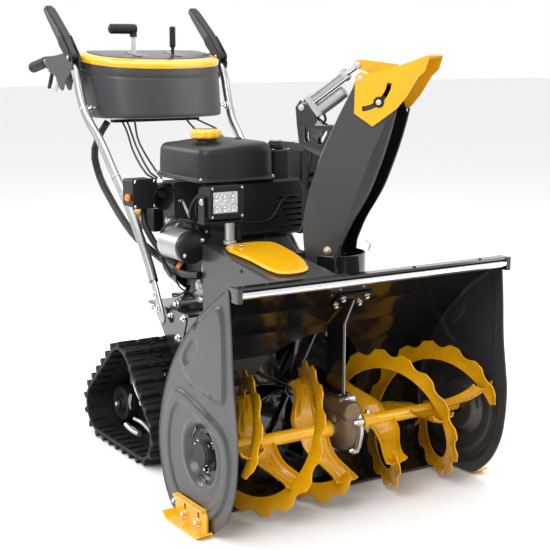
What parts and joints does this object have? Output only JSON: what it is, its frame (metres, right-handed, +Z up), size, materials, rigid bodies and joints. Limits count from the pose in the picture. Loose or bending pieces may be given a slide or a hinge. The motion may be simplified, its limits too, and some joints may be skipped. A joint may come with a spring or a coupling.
{
  "type": "tracked snowblower",
  "caption": "Tracked two stage snowblower with toothed augers in a wide scoop, turning discharge chute, engine, rubber tracks and an upright operator console.",
  "frame": {"origin": "centre of the footprint on the ground", "axes": "+X towards the machine's left hand side, +Y from the auger housing back to the operator, +Z up"},
  "size_m": [0.85, 1.4986, 1.2081],
  "materials": {
    "housing_black": "gloss",
    "charcoal_paint": "satin",
    "yellow_paint": "gloss",
    "yellow_plastic": "gloss",
    "bright_steel": "satin",
    "cast_metal": "rough",
    "engine_metal": "satin",
    "black_plastic": "matt",
    "console_plastic": "satin",
    "black_rubber": "matt"
  },
  "bodies": {
    "machine": {"auger_housing_shell": "housing_black", "top_trim_rail": "bright_steel", "side_plate_right": "charcoal_paint", "side_plate_left": "charcoal_paint", "skid_shoe_right": "yellow_paint", "skid_shoe_left": "yellow_paint", "auger_bearing_right": "black_plastic", "auger_bearing_left": "black_plastic", "impeller_drum": "housing_black", "gearbox_case": "cast_metal", "gearbox_hanger": "housing_black", "belt_cover": "charcoal_paint", "belt_cover_panel": "yellow_plastic", "chassis_frame": "housing_black", "engine_block": "engine_metal", "recoil_housing": "black_plastic", "fuel_tank": "black_plastic", "air_box": "black_plastic", "muffler_guard": "black_plastic", "starter_motor": "engine_metal", "intake_box": "black_plastic", "headlight_post": "engine_metal", "drive_belt": "black_rubber", "track_belt_right": "black_rubber", "track_belt_left": "black_rubber", "track_frame_right": "housing_black", "track_frame_left": "housing_black", "handle_tube_right": "bright_steel", "handle_tube_left": "bright_steel", "grip_right": "black_rubber", "grip_left": "black_rubber", "console_body": "console_plastic", "console_trim": "yellow_plastic", "wiring_conduit": "black_plastic", "control_cables": "black_plastic"},
    "augers": {"auger_right": "yellow_paint", "auger_left": "yellow_paint", "auger_shaft": "bright_steel"},
    "impeller_unit": {"impeller": "housing_black", "impeller_shaft": "bright_steel"},
    "crank_pulley": {"engine_pulley": "bright_steel"},
    "chute": {"chute_body": "charcoal_paint"},
    "deflector_unit": {"deflector": "yellow_paint"},
    "actuator": {"actuator_body": "engine_metal"},
    "actuator_ram": {"actuator_rod": "bright_steel"},
    "lamp": {"headlight": "black_plastic"},
    "cap": {"fuel_cap": "yellow_plastic"},
    "starter_pull": {"recoil_handle": "yellow_plastic"},
    "lever_right": {"clutch_lever_right": "black_plastic"},
    "lever_left": {"clutch_lever_left": "black_plastic"},
    "finger_right": {"trigger_right": "black_plastic"},
    "finger_left": {"trigger_left": "black_plastic"},
    "speed": {"speed_lever": "black_plastic"},
    "joystick": {"chute_joystick": "black_plastic"},
    "sprocket_r": {"track_sprocket_right": "black_plastic"},
    "sprocket_l": {"track_sprocket_left": "black_plastic"},
    "idler_front_r": {"front_idler_right": "black_rubber"},
    "idler_front_l": {"front_idler_left": "black_rubber"},
    "idler_rear_r": {"rear_idler_right": "black_rubber"},
    "idler_rear_l": {"rear_idler_left": "black_rubber"}
  },
  "joints": [
    {"name": "auger_spin", "type": "hinge", "parent": "machine", "child": "augers", "pos_m": [0, -0.5775, 0.184], "axis": [1, 0, 0], "continuous": true},
    {"name": "impeller_spin", "type": "hinge", "parent": "machine", "child": "impeller_unit", "pos_m": [0, -0.3275, 0.229], "axis": [0, 1, 0], "continuous": true},
    {"name": "crank_pulley_spin", "type": "hinge", "parent": "machine", "child": "crank_pulley", "pos_m": [-0.03, -0.2665, 0.505], "axis": [0, 1, 0], "continuous": true},
    {"name": "chute_turn", "type": "hinge", "parent": "machine", "child": "chute", "pos_m": [0.105, -0.3925, 0.5], "axis": [0, 0, 1], "range_deg": [-125, 50]},
    {"name": "deflector_tilt", "type": "hinge", "parent": "chute", "child": "deflector_unit", "pos_m": [0.15786, -0.45778, 1.014], "axis": [0.7771, 0.6293, 0], "range_deg": [-18, 18]},
    {"name": "actuator_swing", "type": "hinge", "parent": "chute", "child": "actuator", "pos_m": [0.04781, -0.33459, 0.94], "axis": [0.7771, 0.6293, 0], "range_deg": [-2, 2]},
    {"name": "actuator_extend", "type": "slide", "parent": "actuator", "child": "actuator_ram", "axis": [0.506, -0.6249, 0.5946], "range_m": [-0.014, 0.016]},
    {"name": "headlight_tilt", "type": "hinge", "parent": "machine", "child": "lamp", "pos_m": [-0.161, -0.2795, 0.712], "axis": [1, 0, 0], "range_deg": [-12, 12]},
    {"name": "fuel_cap_twist", "type": "hinge", "parent": "machine", "child": "cap", "pos_m": [-0.132, -0.1555, 0.8584], "axis": [0, 0, 1], "range_deg": [0, 90]},
    {"name": "recoil_pull", "type": "slide", "parent": "machine", "child": "starter_pull", "axis": [0, 1, 0], "range_m": [0, 0.036], "stiffness_N_per_m": 60, "springref_m": -0.05},
    {"name": "clutch_lever_right_press", "type": "hinge", "parent": "machine", "child": "lever_right", "pos_m": [-0.243, 0.4225, 1.058], "axis": [1, 0, 0], "range_deg": [-23, 0], "stiffness_Nm_per_rad": 1, "springref_deg": 45.84},
    {"name": "trigger_right_squeeze", "type": "hinge", "parent": "machine", "child": "finger_right", "pos_m": [-0.243, 0.5845, 1.018], "axis": [1, 0, 0], "range_deg": [0, 15], "stiffness_Nm_per_rad": 0.05, "springref_deg": -34.38},
    {"name": "clutch_lever_left_press", "type": "hinge", "parent": "machine", "child": "lever_left", "pos_m": [0.243, 0.4225, 1.058], "axis": [1, 0, 0], "range_deg": [-23, 0], "stiffness_Nm_per_rad": 1, "springref_deg": 45.84},
    {"name": "trigger_left_squeeze", "type": "hinge", "parent": "machine", "child": "finger_left", "pos_m": [0.243, 0.5845, 1.018], "axis": [1, 0, 0], "range_deg": [0, 15], "stiffness_Nm_per_rad": 0.05, "springref_deg": -34.38},
    {"name": "speed_lever_shift", "type": "hinge", "parent": "machine", "child": "speed", "pos_m": [-0.071, 0.3845, 0.985], "axis": [1, 0, 0], "range_deg": [-20, 20]},
    {"name": "joystick_push", "type": "hinge", "parent": "machine", "child": "joystick", "pos_m": [0.057, 0.3845, 0.985], "axis": [1, 0, 0], "range_deg": [-15, 15], "stiffness_Nm_per_rad": 1.5},
    {"name": "track_drive_right", "type": "hinge", "parent": "machine", "child": "sprocket_r", "pos_m": [-0.2, 0.0205, 0.222], "axis": [1, 0, 0], "continuous": true},
    {"name": "front_idler_right_spin", "type": "hinge", "parent": "machine", "child": "idler_front_r", "pos_m": [-0.2, -0.0955, 0.088], "axis": [1, 0, 0], "continuous": true},
    {"name": "rear_idler_right_spin", "type": "hinge", "parent": "machine", "child": "idler_rear_r", "pos_m": [-0.2, 0.1725, 0.09], "axis": [1, 0, 0], "continuous": true},
    {"name": "track_drive_left", "type": "hinge", "parent": "machine", "child": "sprocket_l", "pos_m": [0.2, 0.0205, 0.222], "axis": [1, 0, 0], "continuous": true},
    {"name": "front_idler_left_spin", "type": "hinge", "parent": "machine", "child": "idler_front_l", "pos_m": [0.2, -0.0955, 0.088], "axis": [1, 0, 0], "continuous": true},
    {"name": "rear_idler_left_spin", "type": "hinge", "parent": "machine", "child": "idler_rear_l", "pos_m": [0.2, 0.1725, 0.09], "axis": [1, 0, 0], "continuous": true}
  ],
  "couplings": [
    {"joint": "impeller_spin", "follows": "auger_spin", "ratio": 10},
    {"joint": "crank_pulley_spin", "follows": "auger_spin", "ratio": 23},
    {"joint": "actuator_swing", "follows": "deflector_tilt", "ratio": -0.012},
    {"joint": "actuator_extend", "follows": "deflector_tilt", "m_per_rad": 0.0369},
    {"joint": "front_idler_right_spin", "follows": "track_drive_right", "ratio": 1},
    {"joint": "rear_idler_right_spin", "follows": "track_drive_right", "ratio": 1},
    {"joint": "front_idler_left_spin", "follows": "track_drive_left", "ratio": 1},
    {"joint": "rear_idler_left_spin", "follows": "track_drive_left", "ratio": 1}
  ]
}
